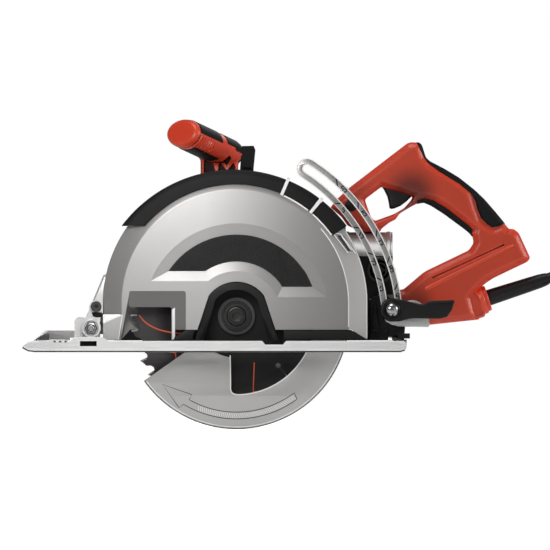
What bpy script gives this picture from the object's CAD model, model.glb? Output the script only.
# %% [markdown]
# A corded worm drive saw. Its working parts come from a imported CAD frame, and this lesson gives them
# their looks. The tables below are in millimetres, as (x, z) seen from the blade's side, because a maker
# reads a side view so. Every mesh is written in metres, in the frame's own axes, so nothing is moved
# afterwards.

# %% Load the frame
import bpy
import bmesh
import math
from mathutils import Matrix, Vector


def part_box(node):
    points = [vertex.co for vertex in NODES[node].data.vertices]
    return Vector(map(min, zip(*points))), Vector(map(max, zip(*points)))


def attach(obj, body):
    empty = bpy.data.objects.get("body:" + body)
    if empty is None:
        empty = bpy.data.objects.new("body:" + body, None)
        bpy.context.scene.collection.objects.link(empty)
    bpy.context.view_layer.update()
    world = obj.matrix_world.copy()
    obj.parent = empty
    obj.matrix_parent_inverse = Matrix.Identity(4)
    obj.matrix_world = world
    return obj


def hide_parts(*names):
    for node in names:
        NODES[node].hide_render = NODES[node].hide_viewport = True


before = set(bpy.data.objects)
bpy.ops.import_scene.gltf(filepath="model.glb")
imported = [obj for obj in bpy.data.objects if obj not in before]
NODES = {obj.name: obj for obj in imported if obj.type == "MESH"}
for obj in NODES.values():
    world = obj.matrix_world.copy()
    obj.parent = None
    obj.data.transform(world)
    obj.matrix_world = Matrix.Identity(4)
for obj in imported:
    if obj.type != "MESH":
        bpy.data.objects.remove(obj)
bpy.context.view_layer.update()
SCENE = bpy.context.scene
MM = 0.001

# %% [markdown]
# The photograph shows the saw square from its blade's side, with almost no perspective. An orthographic
# camera would flatten it fully. A very long lens from far away is used instead, since it keeps a trace of
# depth.

# %% Camera
VIEW_W, FAR, SENSOR = 0.5272, 12.0, 36.0
AIM_X, AIM_Z = 0.0369, 0.0738
cam_data = bpy.data.cameras.new("camera")
cam_data.sensor_width = SENSOR
cam_data.lens = SENSOR * FAR / VIEW_W
cam_data.clip_end = 60.0
camera = bpy.data.objects.new("camera", cam_data)
SCENE.collection.objects.link(camera)
camera.location = (AIM_X, -FAR, AIM_Z)
camera.rotation_euler = (math.pi / 2, 0, 0)
SCENE.camera = camera
SCENE.view_settings.view_transform = "Standard"
print("lens:", round(cam_data.lens), "mm")

# %% [markdown]
# Most parts of a saw are cast or pressed, so they start as outlines: straight runs, arcs and rounded
# corners. They could be drawn by hand as curves. Small functions that return points are used here,
# because a reader can then change one radius and see every piece follow.

# %% Outlines
SPINDLE = (0.0, 34.5)
GUARD_C = (-1.2, 47.0)
FLOOR_Z = -73.8


def polar(c, r, angle):
    """The point at a radius and an angle in degrees about a middle."""
    a = math.radians(angle)
    return (c[0] + r * math.cos(a), c[1] + r * math.sin(a))


def arc(c, r, a0, a1, n=24):
    return [polar(c, r, a0 + (a1 - a0) * i / n) for i in range(n + 1)]


def ring_sector(c, r0, r1, a0, a1):
    n = max(4, int(abs(a1 - a0) / 2.5))
    return arc(c, r1, a0, a1, n) + arc(c, r0, a1, a0, n)


def rounded(points, radius, n=5):
    """The closed outline with each corner rounded; radius is one number or one for each corner."""
    out = []
    for i, p in enumerate(points):
        r = radius[i] if isinstance(radius, (list, tuple)) else radius
        a, b, c = Vector(points[i - 1]), Vector(p), Vector(points[(i + 1) % len(points)])
        u, v = a - b, c - b
        lu, lv = u.length, v.length
        if r <= 0 or lu < 1e-6 or lv < 1e-6:
            out.append(tuple(p))
            continue
        u, v = u / lu, v / lv
        half = math.acos(max(-1, min(1, u.dot(v)))) / 2
        if half > math.radians(86) or half < math.radians(3):
            out.append(tuple(p))
            continue
        t = min(r / math.tan(half), lu * 0.48, lv * 0.48)
        s, e = b + u * t, b + v * t
        for k in range(n + 1):
            f = k / n
            q = s * (1 - f) ** 2 + b * 2 * f * (1 - f) + e * f ** 2
            out.append((q.x, q.y))
    return out


def smooth(points, n=4):
    """An open Catmull-Rom curve through the points."""
    last, out = len(points) - 1, []
    for i in range(last):
        a, b, c, d = (points[max(0, min(last, k))] for k in (i - 1, i, i + 1, i + 2))
        for k in range(n):
            u = k / n
            out.append(tuple(0.5 * (2 * b[j] + (c[j] - a[j]) * u
                                    + (2 * a[j] - 5 * b[j] + 4 * c[j] - d[j]) * u * u
                                    + (3 * b[j] - a[j] - 3 * c[j] + d[j]) * u ** 3) for j in range(len(b))))
    out.append(tuple(points[-1]))
    return out


def inside(outline, x, z):
    """Whether a point is inside a closed outline."""
    hit = False
    for i in range(len(outline)):
        (x0, z0), (x1, z1) = outline[i - 1], outline[i]
        if (z0 > z) != (z1 > z) and x < x0 + (x1 - x0) * (z - z0) / (z1 - z0):
            hit = not hit
    return hit


print("a rounded square has", len(rounded([(0, 0), (9, 0), (9, 9), (0, 9)], 2)), "points")

# %% [markdown]
# Points and faces become a mesh through from_mesh. Its doubles are merged and its faces turned outwards
# before shading, so a piece is closed and lights correctly. Smooth shading with a sharpness angle keeps
# real edges crisp without any extra faces.

# %% Points to a mesh
def link(obj):
    SCENE.collection.objects.link(obj)
    return obj


def drop(obj):
    bpy.data.objects.remove(obj)


def shade(obj, angle=30):
    me = obj.data
    me.polygons.foreach_set("use_smooth", [True] * len(me.polygons))
    me.set_sharp_from_angle(angle=math.radians(angle))
    return obj


def close_up(me, gap):
    """Merges the points that lie within a gap, and turns the faces outwards."""
    bm = bmesh.new()
    bm.from_mesh(me)
    bmesh.ops.remove_doubles(bm, verts=bm.verts, dist=gap)
    bmesh.ops.recalc_face_normals(bm, faces=bm.faces)
    bm.to_mesh(me)
    bm.free()


def from_mesh(name, verts, faces, angle=30):
    me = bpy.data.meshes.new(name)
    me.from_pydata([tuple(c * MM for c in v) for v in verts], [], faces)
    me.validate()
    close_up(me, 1e-6)
    return shade(link(bpy.data.objects.new(name, me)), angle)


def solid(name, loops, angle=30):
    """Closed 3-D loops joined side by side, with a cap on each end."""
    m, rows = len(loops[0]), len(loops)
    faces = []
    for i in range(rows - 1):
        for k in range(m):
            a, b = i * m + k, i * m + (k + 1) % m
            faces.append((a, b, b + m, a + m))
    faces += [tuple(range(m)), tuple(range((rows - 1) * m, rows * m))]
    return from_mesh(name, [v for loop in loops for v in loop], faces, angle)


# %% [markdown]
# Brackets, panels and pads are plates with eased edges. A cube with a Bevel modifier fits few of them. A
# flat curve with an extrusion and a bevel takes any outline with holes, and becomes a plain mesh at once.

# %% Plates
def plate(name, loops, y0, y1, bevel=0.5, res=2, angle=40):
    """Closed outlines (x, z) drawn out from y0 to y1; the first is the edge and the rest are holes."""
    if isinstance(loops[0][0], (int, float)):
        loops = [loops]
    cu = bpy.data.curves.new(name, "CURVE")
    cu.dimensions, cu.fill_mode = "2D", "BOTH"
    bevel = min(bevel, (y1 - y0) / 2 - 0.01)
    cu.extrude = ((y1 - y0) / 2 - bevel) * MM
    cu.bevel_depth, cu.bevel_resolution, cu.offset = bevel * MM, res, -bevel * MM
    for loop in loops:
        spline = cu.splines.new("POLY")
        spline.points.add(len(loop) - 1)
        for p, q in zip(spline.points, loop):
            p.co = (q[0] * MM, q[1] * MM, 0, 1)
        spline.use_cyclic_u = True
    curve = link(bpy.data.objects.new(name + "_c", cu))
    me = evaluated(curve)
    drop(curve)
    me.name = name
    mid = (y0 + y1) / 2 * MM
    for v in me.vertices:
        v.co = (v.co.x, mid - v.co.z, v.co.y)
    close_up(me, 2e-6)
    return shade(link(bpy.data.objects.new(name, me)), angle)


def evaluated(obj):
    """The mesh that an object has once its modifiers or its curve settings are worked out."""
    bpy.context.view_layer.update()
    return bpy.data.meshes.new_from_object(obj.evaluated_get(bpy.context.evaluated_depsgraph_get()))


# %% [markdown]
# Bolts, rings and bosses are turned on a lathe in the workshop, and here too: a profile of radius and
# height goes round an axis. Cords and grooves are tubes, whose section is carried along a path without a
# twist. A curve with a round bevel would do as well, but these tubes can change their radius from point
# to point.

# %% Turned pieces and tubes
def lathe(name, profile, origin, direction, n=64, angle=30):
    """A profile of (radius, along) turned about an axis."""
    d = Vector(direction).normalized()
    s = d.cross(Vector((0, 0, 1)) if abs(d.z) < 0.9 else Vector((0, 1, 0))).normalized()
    t, o, m = d.cross(s), Vector(origin), len(profile)
    verts, faces = [], []
    for i in range(n):
        a = math.radians(360.0 * i / n)
        verts += [tuple(o + d * h + (s * math.cos(a) + t * math.sin(a)) * r) for r, h in profile]
    for i in range(n):
        j = (i + 1) % n
        faces += [(i * m + k, j * m + k, j * m + k + 1, i * m + k + 1) for k in range(m - 1)]
    return from_mesh(name, verts, faces, angle)


def tube(name, path, radii, n=16, flat=1.0, angle=60):
    """A round tube along 3-D points; radii is one number or one for each point."""
    pts = [Vector(p) for p in path]
    rad = radii if isinstance(radii, (list, tuple)) else [radii] * len(pts)
    loops, up = [], None
    for i, p in enumerate(pts):
        t = (pts[min(i + 1, len(pts) - 1)] - pts[max(i - 1, 0)]).normalized()
        if up is None:
            up = t.cross(Vector((0, 1, 0)) if abs(t.y) < 0.9 else Vector((1, 0, 0))).normalized()
        up = (up - t * up.dot(t)).normalized()
        side = t.cross(up)
        turn = [2 * math.pi * k / n for k in range(n)]
        loops.append([tuple(p + (up * math.cos(a) + side * math.sin(a) * flat) * rad[i]) for a in turn])
    return solid(name, loops, angle)


# %% [markdown]
# Castings are cut, joined and softened. An exact Boolean makes clean holes. A voxel remesh with a little
# smoothing turns hard joints into the moulded radii of plastic, where a Bevel modifier would fail on the
# crossing shapes.

# %% Cutting, joining and softening
def apply(obj):
    """Bakes the modifiers into the mesh."""
    me = evaluated(obj)
    me.name = obj.data.name
    obj.modifiers.clear()
    obj.data = me
    return obj


def boolean(obj, cutters, operation="DIFFERENCE", keep=False):
    for c in cutters if isinstance(cutters, (list, tuple)) else [cutters]:
        m = obj.modifiers.new("cut", "BOOLEAN")
        m.operation, m.object, m.solver = operation, c, "EXACT"
        apply(obj)
        if not keep:
            drop(c)
    return obj


def cutter(loops, y0, y1):
    """A plate with sharp edges, to cut with."""
    return plate("cut", loops, y0, y1, 0.01)


def join(name, objs):
    bm = bmesh.new()
    for o in objs:
        bm.from_mesh(o.data)
        drop(o)
    me = bpy.data.meshes.new(name)
    bm.to_mesh(me)
    bm.free()
    return shade(link(bpy.data.objects.new(name, me)), 32)


def soften(obj, voxel, rounds, grow, factor=0.5, angle=60):
    """Remeshes and relaxes a piece, so that its edges become moulded radii."""
    m = obj.modifiers.new("remesh", "REMESH")
    m.mode, m.voxel_size = "VOXEL", voxel * MM
    m = obj.modifiers.new("relax", "SMOOTH")
    m.factor, m.iterations = factor, rounds
    m = obj.modifiers.new("grow", "DISPLACE")
    m.mid_level, m.strength = 0.0, grow * MM
    return shade(apply(obj), angle)


# %% [markdown]
# No real surface has one flat colour. Each finish here drifts between a darker and a lighter tone over a
# few centimetres, and a fine grain changes its gloss and height. Image textures could do this. Noise on
# Object coordinates needs no file, and it stays put on a piece when its body moves.

# %% Material helpers
MATS = {}


def wire(nt, node, inputs):
    """Gives each named input a number, or links it where the value is a socket."""
    for key, value in inputs.items():
        if isinstance(value, bpy.types.NodeSocket):
            nt.links.new(value, node.inputs[key])
        else:
            node.inputs[key].default_value = value


def add_node(nt, kind, inputs=None, **settings):
    node = nt.nodes.new("ShaderNode" + kind)
    for key, value in settings.items():
        setattr(node, key, value)
    wire(nt, node, inputs or {})
    return node


def add_ramp(nt, fac, stops):
    """A colour ramp of (position, colour): its two ends first, and then any stops between them."""
    ramp = add_node(nt, "ValToRGB", {"Fac": fac})
    for i, (at, color) in enumerate(stops):
        stop = ramp.color_ramp.elements[i] if i < 2 else ramp.color_ramp.elements.new(at)
        stop.position = at
        stop.color = (*color, 1)
    return ramp.outputs["Color"]


def coordinates(nt, output="Object"):
    return add_node(nt, "TexCoord").outputs[output]


def surface(name, color, metal=0.0, rough=0.4, vary=0.06, grain=900.0, bump=0.08, blotch=25.0, spread=0.08,
            stretch=(1, 1, 1), coat=0.0, coat_rough=0.2, spec=0.5):
    mat = bpy.data.materials.new(name)
    mat.use_nodes = True
    nt = mat.node_tree
    place = add_node(nt, "Mapping", {"Vector": coordinates(nt), "Scale": stretch}).outputs["Vector"]
    big = add_node(nt, "TexNoise", {"Vector": place, "Scale": blotch, "Detail": 5}).outputs["Fac"]
    fine = add_node(nt, "TexNoise", {"Vector": place, "Scale": grain, "Detail": 3}).outputs["Fac"]
    drift = add_ramp(nt, big, [(0.3, [c * (1 - vary) for c in color]),
                               (0.7, [min(1, c * (1 + vary)) for c in color])])
    gloss = add_node(nt, "MapRange", {"Value": fine, "From Min": 0.3, "From Max": 0.7,
                                      "To Min": max(0.03, rough - spread),
                                      "To Max": min(1.0, rough + spread)})
    relief = add_node(nt, "Bump", {"Strength": bump, "Distance": 0.0004, "Height": fine})
    bsdf = nt.nodes["Principled BSDF"]
    wire(nt, bsdf, {"Base Color": drift, "Metallic": metal, "Roughness": gloss.outputs["Result"],
                    "Specular IOR Level": spec, "Normal": relief.outputs["Normal"]})
    if coat:
        wire(nt, bsdf, {"Coat Weight": coat, "Coat Roughness": coat_rough})
    MATS[name] = mat
    return mat


# %% [markdown]
# The finishes of the saw. Guard and foot wear silver paint, so they are half metallic. The grips are
# matte soft rubber, the handles a glossy moulded plastic with a thin coat, and the shoe is rolled sheet
# whose grain is stretched along X. Each line gives the colour, metal, roughness, drift, grain, bump and
# blotch.

# %% Materials
surface("guard_paint", (0.40, 0.39, 0.385), 0.55, 0.42, 0.03, 1400, 0.10, 14)
surface("rim_paint", (0.30, 0.29, 0.285), 0.55, 0.42, 0.03, 1400, 0.10, 14)
surface("cast_silver", (0.46, 0.46, 0.46), 0.75, 0.34, 0.05, 1100, 0.10, 30)
surface("motor_silver", (0.38, 0.375, 0.37), 0.75, 0.36, 0.05, 900, 0.03, 30)
surface("shoe_silver", (0.86, 0.86, 0.855), 0.6, 0.36, 0.03, 700, 0.10, 20, stretch=(0.06, 1, 1))
surface("bracket_grey", (0.40, 0.39, 0.385), 0.8, 0.34, 0.06, 900, 0.08, 40)
surface("lower_silver", (0.50, 0.495, 0.49), 0.7, 0.38, 0.04, 1200, 0.08, 12)
surface("foot_paint", (0.52, 0.515, 0.51), 0.55, 0.42, 0.03, 1400, 0.10, 14)
surface("bright_paint", (0.80, 0.795, 0.79), 0.15, 0.50, 0.03, 1100, 0.02, 30)
surface("bezel_paint", (0.17, 0.165, 0.163), 0.55, 0.42, 0.04, 1400, 0.10, 30)
surface("flange_silver", (0.60, 0.595, 0.59), 0.7, 0.34, 0.04, 1100, 0.08, 30)
surface("bolt_dark", (0.045, 0.044, 0.043), 0.6, 0.34, 0.12, 900, 0.08, 60)
surface("pivot_silver", (0.80, 0.795, 0.79), 0.5, 0.36, 0.04, 1100, 0.10, 30)
surface("lift_black", (0.004, 0.004, 0.004), 0.0, 0.55, 0.15, 1500, 0.20, 40, spec=0.12)
surface("cap_black", (0.020, 0.019, 0.019), 0.0, 0.30, 0.12, 1300, 0.06, 60)
surface("steel", (0.55, 0.55, 0.56), 0.95, 0.28, 0.06, 1300, 0.06, 60)
surface("dark_steel", (0.07, 0.07, 0.07), 0.7, 0.42, 0.12, 900, 0.10, 60)
surface("chrome", (0.42, 0.42, 0.43), 1.0, 0.16, 0.03, 300, 0.02, 60, spread=0.03)
surface("brass", (0.62, 0.46, 0.20), 0.95, 0.30, 0.07, 900, 0.06, 60)
surface("copper", (0.60, 0.28, 0.14), 0.95, 0.32, 0.08, 900, 0.06, 60)
surface("iron", (0.10, 0.095, 0.09), 0.7, 0.55, 0.15, 700, 0.2, 60)
surface("carbon", (0.03, 0.03, 0.03), 0.0, 0.7, 0.2, 900, 0.2, 60)
surface("black_plastic", (0.007, 0.007, 0.007), 0.0, 0.42, 0.15, 1600, 0.18, 40, spec=0.28)
surface("black_rubber", (0.0045, 0.0045, 0.0045), 0.0, 0.55, 0.15, 1500, 0.28, 40, spec=0.2)
surface("black_metal", (0.012, 0.012, 0.013), 0.3, 0.38, 0.15, 1200, 0.10, 40, spec=0.28)
surface("mesh_metal", (0.05, 0.049, 0.048), 0.5, 0.45, 0.15, 1200, 0.10, 40)
surface("blade_black", (0.014, 0.013, 0.013), 0.35, 0.40, 0.12, 1000, 0.06, 30, spec=0.28)
surface("blade_orange", (0.75, 0.10, 0.03), 0.0, 0.45, 0.05, 900, 0.04, 60)
surface("carbide", (0.42, 0.42, 0.43), 0.9, 0.35, 0.1, 900, 0.1, 80)
surface("red_plastic", (0.62, 0.042, 0.012), 0.0, 0.38, 0.05, 1500, 0.10, 18, coat=0.15, coat_rough=0.25)
surface("red_dark", (0.030, 0.014, 0.012), 0.0, 0.6, 0.06, 1500, 0.10, 18, spec=0.12)
surface("cord_black", (0.010, 0.010, 0.010), 0.0, 0.40, 0.15, 1300, 0.10, 60, spec=0.28)
surface("ink_black", (0.010, 0.010, 0.010), 0.0, 0.5, 0.1, 900, 0.02, 60, spec=0.28)
print("materials:", len(MATS))

# %% [markdown]
# Use and age follow a piece's form: edges rub bright, hollows stay dark, and a broad shell shades off
# from end to end. Painting that by hand would need UV maps. Instead the curvature, the normal and the
# place of each point give a factor, and the factor multiplies the base colour.

# %% Wear and drifts
def times_color(name, factor):
    """Multiplies a material's base colour by another node's output."""
    nt = MATS[name].node_tree
    bsdf = nt.nodes["Principled BSDF"]
    mul = add_node(nt, "VectorMath", {0: bsdf.inputs["Base Color"].links[0].from_socket, 1: factor},
                   operation="MULTIPLY")
    nt.links.new(mul.outputs["Vector"], bsdf.inputs["Base Color"])


def worn_edges(name, light, dark):
    """Edges rub lighter and inner corners hold dirt: colour follows the mesh's curvature."""
    nt = MATS[name].node_tree
    curve = add_node(nt, "NewGeometry").outputs["Pointiness"]
    times_color(name, add_ramp(nt, curve, [(0.40, [dark] * 3), (0.60, [light] * 3), (0.5, [1] * 3)]))


def along_x(name, stops):
    """Paint that grows lighter or darker along X: (x in mm, factor), with the two ends first."""
    nt = MATS[name].node_tree
    x0, x1 = stops[0][0], stops[1][0]
    sep = add_node(nt, "SeparateXYZ", {"Vector": coordinates(nt)})
    span = add_node(nt, "MapRange", {"Value": sep.outputs["X"], "From Min": x0 * MM, "From Max": x1 * MM})
    ramp = [((x - x0) / (x1 - x0), [f] * 3) for x, f in stops]
    times_color(name, add_ramp(nt, span.outputs["Result"], ramp))


def dull_flats(name, factor):
    """Flat walls that face along Y are duller than the rounded edges, which rub bright."""
    nt = MATS[name].node_tree
    sep = add_node(nt, "SeparateXYZ", {"Vector": coordinates(nt, "Normal")})
    flat = add_node(nt, "Math", {0: sep.outputs["Y"]}, operation="ABSOLUTE")
    times_color(name, add_ramp(nt, flat.outputs["Value"], [(0.70, (1, 1, 1)), (0.98, factor)]))


def round_spot(name, middle, radii, inner, outer=1.0):
    """Scales the colour by one factor inside a circle of the XZ plane and by another outside it."""
    nt = MATS[name].node_tree
    shift = (-middle[0] * MM, 0, -middle[1] * MM)
    flat = add_node(nt, "VectorMath", {0: coordinates(nt), 1: (1, 0, 1), 2: shift}, operation="MULTIPLY_ADD")
    away = add_node(nt, "VectorMath", {0: flat.outputs["Vector"]}, operation="LENGTH")
    span = add_node(nt, "MapRange", {"Value": away.outputs["Value"], "From Min": radii[0] * MM,
                                     "From Max": radii[1] * MM, "To Min": inner, "To Max": outer},
                    interpolation_type="SMOOTHSTEP")
    times_color(name, span.outputs["Result"])


worn_edges("red_plastic", 1.9, 0.35)
dull_flats("red_plastic", (0.78, 1.0, 1.1))
round_spot("red_plastic", (168, 152), (8, 32), 0.28)
round_spot("red_plastic", (172, 42), (6, 26), 0.45)
round_spot("blade_black", SPINDLE, (66, 82), 1.0, 4.5)
along_x("guard_paint", [(-120, 1.0), (120, 0.62), (-30, 1.17), (60, 0.76)])
along_x("rim_paint", [(-120, 1.0), (125, 1.65), (40, 1.15)])
print("nodes in the red plastic:", len(MATS["red_plastic"].node_tree.nodes))

# %% [markdown]
# A finished piece is painted, rides on one body of the frame so that joints carry it, and may stand for
# CAD nodes, which are then hidden. Where one piece has two colours, faces get a second material by their
# place. That gives a cleaner border than a mask in the shader.

# %% Finishing a piece
def paint(obj, mat):
    obj.data.materials.clear()
    obj.data.materials.append(MATS[mat])
    return obj


def tint(obj, mat, test):
    """Gives another material to the faces that a test picks by their middle, in mm, and their normal."""
    obj.data.materials.append(MATS[mat])
    k = len(obj.data.materials) - 1
    for p in obj.data.polygons:
        if test(p.center * 1000, p.normal):
            p.material_index = k
    return obj


def done(obj, mat, body, slot, *nodes):
    """Paints a finished piece, lets it ride on its body and stand for its CAD nodes."""
    paint(obj, mat)
    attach(obj, body)
    if nodes:
        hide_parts(*nodes)
    print(obj.name, len(obj.data.polygons), "faces on", body)
    return obj


# %% [markdown]
# The stage is a pale floor that is open on every side, so a view from behind is as clear as one from the
# front. The camera sees it glow nearly white, while the saw gets only a little of that light, which keeps
# its shadow. A curved backdrop is common in a studio, but it would block the view from behind.

# %% Floor
REACH = 30000
corners = [(x * REACH, y * REACH, FLOOR_Z) for x, y in ((-1, -1), (1, -1), (1, 1), (-1, 1))]
floor = from_mesh("floor", corners, [(0, 1, 2, 3)], 60)
pale = bpy.data.materials.new("floor_pale")
pale.use_nodes = True
nt = pale.node_tree
seen = add_node(nt, "LightPath").outputs["Is Camera Ray"]
glow = add_node(nt, "MapRange", {"Value": seen, "To Min": 0.10, "To Max": 0.85})
wire(nt, nt.nodes["Principled BSDF"], {
    "Base Color": (0.92, 0.92, 0.92, 1), "Roughness": 0.9, "Specular IOR Level": 0.1,
    "Emission Color": (1, 1, 1, 1), "Emission Strength": glow.outputs["Result"]})
floor.data.materials.append(pale)
print("floor at", FLOOR_Z, "mm")

# %% [markdown]
# Big soft lamps stand for the studio. The key is near the guard and gives it its round sheen, the side
# lamp draws the edges, and the lamp behind lights the motor. The world is white to the camera, but weak
# as a light, because metals would look washed out in a full white room.

# %% Lamps and world
def lamp(name, loc, target, size, power):
    light = bpy.data.lights.new(name, "AREA")
    light.shape, light.size, light.energy = "DISK", size, power
    ob = link(bpy.data.objects.new(name, light))
    ob.location = loc
    ob.rotation_euler = (Vector(target) - Vector(loc)).to_track_quat("-Z", "Y").to_euler()
    ob.visible_camera = False
    return ob


lamp("key", (-0.10, -0.36, 0.235), (-0.07, 0, 0.11), 0.20, 0.85)
lamp("side", (1.25, -0.24, 0.42), (0.05, 0, 0.06), 0.5, 4.6)
lamp("fill", (0.95, -1.3, 0.35), (0.12, 0, 0.06), 0.9, 0.8)
lamp("top", (-0.05, -0.30, 1.3), (0.03, 0.0, 0.05), 0.8, 5.5)
lamp("back", (0.6, 1.5, 0.9), (0.05, 0.05, 0.06), 1.0, 3.5)
SCENE.world = bpy.data.worlds.new("world")
SCENE.world.use_nodes = True
nt = SCENE.world.node_tree
nt.nodes.clear()
white = add_node(nt, "Background", {"Color": (1, 1, 1, 1), "Strength": 1.0}).outputs[0]
weak = add_node(nt, "Background", {"Color": (1, 1, 1, 1), "Strength": 0.18}).outputs[0]
ray = add_node(nt, "LightPath").outputs
either = add_node(nt, "Math", {0: ray["Is Camera Ray"], 1: ray["Is Transmission Ray"]}, operation="MAXIMUM")
mix = add_node(nt, "MixShader", {"Fac": either.outputs[0], 1: weak, 2: white})
add_node(nt, "OutputWorld", {"Surface": mix.outputs[0]})
print("lamps:", len(bpy.data.lights))

# %% [markdown]
# The cord comes from a usual length of about two and a half metres, of which most lies in a flat coil. A
# cloth or rope simulation could drop it. A written route is steadier: first a smooth curve from the boot
# down to the floor, then a spiral that goes in and comes out again one layer higher, and a tail to the
# plug.

# %% Cord
CORD_R = 5.2
CORD_POINTS = [(299.6, 62, 70.3), (311, 62, 74), (324.5, 62.5, 76), (339.5, 64, 73.5), (353, 66.5, 66),
               (362.5, 69, 54), (368, 71.5, 38), (370, 74, 18), (371.5, 76, -2), (374.5, 78, -24),
               (380.5, 79.5, -43), (391, 80, -57), (404, 80, -65), (416, 80, -67.8), (423, 80, -67.8),
               (430, 80, -67.8)]
TURNS, PITCH, OUTER = 6.5, 11.0, 73.5
COIL_C = (430.0, 6.5)
STEPS_A_TURN = 36


def coil_at(t):
    """The coil after t turns: its radius shrinks and grows again, and it climbs a layer half way."""
    r = OUTER - PITCH * (t if t < TURNS / 2 else TURNS - t)
    z = FLOOR_Z + 0.8 + CORD_R + PITCH * max(0, min(1, (t - TURNS / 2) * 2 + 0.5))
    return (*polar(COIL_C, r, 90 - 360 * t), z)


end = coil_at(TURNS)
tail = [(end[0] + dx, end[1], end[2] + dz) for dx, dz in
        ((0, 0), (-10.4, 0), (-22, -2), (-32, -5.5), (-40, -7), (-50, -7))]
coil = [coil_at(i / STEPS_A_TURN) for i in range(3, int(TURNS * STEPS_A_TURN))]
route = smooth(CORD_POINTS) + [(440.4, 80, -67.8)] + coil + smooth(tail, 3)
cord = tube("power_cord", route, CORD_R, 14)
done(cord, "cord_black", "saw_body", "cord_rubber", "cord", "cord_coil")

# %% [markdown]
# A long rubber boot keeps the cord from kinking where it leaves the handle, and a ribbed collar holds the
# boot. Both are round about the cord's line, so both are turned. The ribs are in the profile, which costs
# less than an array of rings.

# %% Boot and collar
EXIT = (242.5, 62, 51.8)
ALONG = (math.cos(math.radians(18)), 0, math.sin(math.radians(18)))
boot_profile = [(0, -4), (7.7, -4), (7.7, 4), (7.4, 20), (7.0, 40), (6.7, 52), (6.2, 57), (5.6, 60), (0, 60)]
boot = lathe("boot_sleeve", boot_profile, EXIT, ALONG, 40)
done(boot, "cord_black", "saw_body", "cord_rubber", "cord_boot")
collar_profile = [(0, -14), (12, -14), (12.5, -13), (12.5, -9.6), (13.6, -9), (14, -8.3), (14, -4.6),
                  (13.5, -4), (12.6, -3.4), (12.2, -0.8), (11.4, 0), (8.6, 0), (7.9, -1), (7.9, -4)]
collar = lathe("collar_ring", collar_profile, EXIT, ALONG, 56)
done(collar, "red_plastic", "saw_body", "red_plastic", "cord_collar")

# %% [markdown]
# The upper guard is one metal casting: a flat face, a slanted rim and a hollow for the blade. It could be
# a subdivision model. It is a stack of outlines here, with its windows and rooms cut out, because a
# casting's edges are where flat and round surfaces meet, and outlines place them exactly.

# %% Guard outlines
FACE_Y, BACK_Y = -23.0, 16.5
FOOT_Z = -5.0
EDGE_CUT_Y = FACE_Y - 0.3


def guard_loop(inset, y):
    ring = arc(GUARD_C, 126.6 - inset, 180, 0, 96)
    points = [(-127.8 + inset, FOOT_Z)] + ring + [(125.4 - inset, FOOT_Z)]
    return [(x, y, z) for x, z in points]


def window_loop(r_out, r_in, z_left, z_right):
    """A curved window round the spindle: two arcs that end at a height on the left and on the right."""
    def angle(r, z, side):
        rise = z - SPINDLE[1]
        return math.degrees(math.atan2(rise, side * math.sqrt(r * r - rise ** 2)))
    outer = arc(SPINDLE, r_out, angle(r_out, z_left, -1), angle(r_out, z_right, 1), 60)
    return outer + arc(SPINDLE, r_in, angle(r_in, z_right, 1), angle(r_in, z_left, -1), 48)


def at_y(loop, y):
    return [(p[0], y, p[1]) for p in loop]


def arch(r, spread):
    """The arch over the arbor, open below."""
    a = 36.5
    return [(-spread, -2)] + arc(SPINDLE, r, 180 - a, a, 40) + [(spread, -2)]


def room_loop(r, y):
    """The blade's room: an arch with straight legs that spread with its radius."""
    leg = r + 4.8 * (r - 112) / 7
    points = [(GUARD_C[0] - leg, -5)] + arc(GUARD_C, r, 180, 0, 72) + [(GUARD_C[0] + leg, -5)]
    return at_y(points, y)


WIN_IN = window_loop(78, 52.2, 77.5, 62.5)
WIN_OUT = window_loop(88.7, 43, 68, 52.5)
SIGHT_OUT = [(-113.2, -2), (-102.1, 58.5), (-99, 58.5), (-50, 58.5), (-48.4, 57), (-48.4, 22),
             (-61.8, 14.2), (-61.7, -2)]
SIGHT_IN = [(-111.2, -2), (-103.5, 46), (-101.5, 43.1), (-63.5, 43.1), (-61.8, 41.4), (-61.8, 22),
            (-61.8, 14), (-61.8, -2)]
print("window points:", len(WIN_IN))

# %% [markdown]
# The upper guard's two windows have slanted bezels, so their cutters are wedges between a wide and a
# narrow outline. An inset on the faces would make a bezel too, but of one width only. The rim also loses
# a step for each black pad, so that the rubber sits in the casting and not on top of it.

# %% Guard shell
PADS = [(67.4, 147.5, 17.0), (51.1, 66.2, 17.0), (34.6, 49.4, 2.0)]
PAD_FOOT = 120.8
BELOW_PAD = [(-160, 60), (-160, PAD_FOOT), (-60, PAD_FOOT), (-60, 60)]
UNDERCUT = [(-200, -60), (-200, 11.5), (-110.7, 11.5), (-102, 21.5), (110, 21.5), (124.5, 12.5), (126, 12.5),
            (200, 12.5), (200, -60)]
shell = solid("guard_shell", [guard_loop(inset, y) for inset, y in (
    (0.6, BACK_Y), (0, 15.9), (0, -15.4), (0.5, -16.3), (16.6, -22.5), (17.8, -22.9), (18.4, FACE_Y))])


def bezel(wide, narrow, y_narrow):
    return solid("cut", [at_y(wide, EDGE_CUT_Y), at_y(wide, -22.98), at_y(narrow, y_narrow),
                         at_y(narrow, -10)])


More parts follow.
